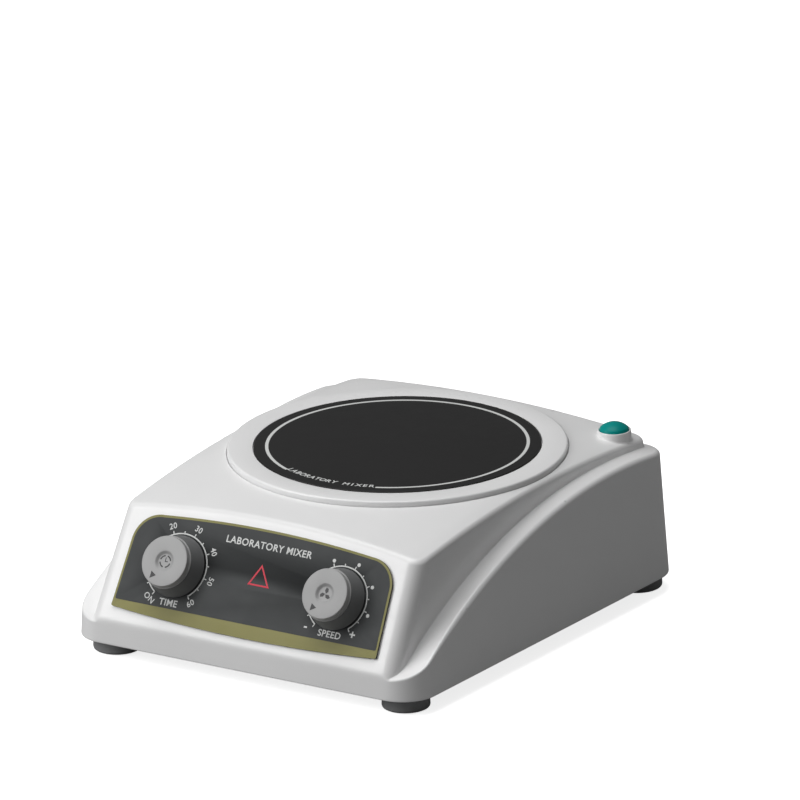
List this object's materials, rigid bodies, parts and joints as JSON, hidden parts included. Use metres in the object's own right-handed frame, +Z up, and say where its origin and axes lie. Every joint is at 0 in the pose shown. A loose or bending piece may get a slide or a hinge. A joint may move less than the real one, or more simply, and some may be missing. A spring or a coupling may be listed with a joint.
{
  "type": "magnetic stirrer",
  "caption": "Laboratory magnetic stirrer with a round plate, a sloping control face with two dials, and a push button at the rear corner.",
  "frame": {"origin": "on the bench, under the middle of the housing", "axes": "+Z up, +Y towards the rear, +X to the right of someone facing the control panel"},
  "size_m": [0.1602, 0.1897, 0.0671],
  "materials": {
    "white": "satin",
    "grey_cover": "matte",
    "panel_grey": "matte",
    "disc_black": "satin",
    "knob_grey": "satin",
    "teal": "gloss",
    "rubber": "matte",
    "steel": "satin",
    "magnet": "nickel plated",
    "black_plastic": "matte",
    "black_steel": "black oxide",
    "heatsink": "plain",
    "brass": "plain",
    "board_green": "satin",
    "fuse_glass": "clear"
  },
  "bodies": {
    "body": {"housing_shell": "white", "top_plate": "white", "bottom_cover": "grey_cover", "control_panel": "panel_grey", "plate_disc": "disc_black", "foot_front_left": "rubber", "foot_front_right": "rubber", "foot_rear_left": "rubber", "foot_rear_right": "rubber", "foot_screw_front_left": "steel", "foot_screw_front_right": "steel", "foot_screw_rear_left": "steel", "foot_screw_rear_right": "steel", "plate_screw_1": "steel", "plate_screw_2": "steel", "plate_screw_3": "steel", "plate_screw_4": "steel", "bracket_screw_1": "steel", "bracket_screw_2": "steel", "bracket_screw_3": "steel", "bracket_screw_4": "steel", "board_screw_1": "steel", "board_screw_2": "steel", "board_screw_3": "steel", "board_screw_4": "steel", "motor_screw_left": "steel", "motor_screw_right": "steel", "inlet_screw_left": "steel", "inlet_screw_right": "steel", "motor_can": "steel", "motor_bracket": "steel", "timer_nut": "steel", "speed_control_nut": "steel", "timer_body": "black_plastic", "speed_control_body": "black_plastic", "power_switch": "black_plastic", "power_inlet": "black_plastic", "board_transformer": "black_plastic", "board_capacitor": "black_plastic", "triac_heatsink": "heatsink", "inlet_pin_line": "brass", "inlet_pin_earth": "brass", "inlet_pin_neutral": "brass", "control_board": "board_green", "terminal_block": "board_green"},
    "time_dial": {"time_knob": "knob_grey", "time_skirt": "black_plastic", "timer_shaft": "steel"},
    "speed_dial": {"speed_knob": "knob_grey", "speed_skirt": "black_plastic", "speed_control_shaft": "steel"},
    "button": {"power_button": "teal"},
    "rotor": {"motor_shaft": "steel", "magnet_yoke": "steel", "drive_magnet_north": "magnet", "drive_magnet_south": "magnet", "yoke_set_screw": "black_steel"},
    "fuse_tray": {"fuse_drawer": "black_plastic", "fuse": "fuse_glass"}
  },
  "joints": [
    {"name": "time_dial_turn", "type": "hinge", "parent": "body", "child": "time_dial", "pos_m": [-0.0365, -0.0804, 0.03838], "axis": [0, 0.866, -0.5], "range_deg": [0, 290]},
    {"name": "speed_dial_turn", "type": "hinge", "parent": "body", "child": "speed_dial", "pos_m": [0.0374, -0.0804, 0.03838], "axis": [0, 0.866, -0.5], "range_deg": [0, 290]},
    {"name": "power_button_press", "type": "slide", "parent": "body", "child": "button", "axis": [0, 0, -1], "range_m": [0, 0.0015], "stiffness_N_per_m": 400},
    {"name": "rotor_spin", "type": "hinge", "parent": "body", "child": "rotor", "pos_m": [0, 0.017, 0.05], "axis": [0, 0, 1], "continuous": true},
    {"name": "fuse_drawer_slide", "type": "slide", "parent": "body", "child": "fuse_tray", "axis": [0, 0.999, 0.0436], "range_m": [0, 0.012]}
  ]
}
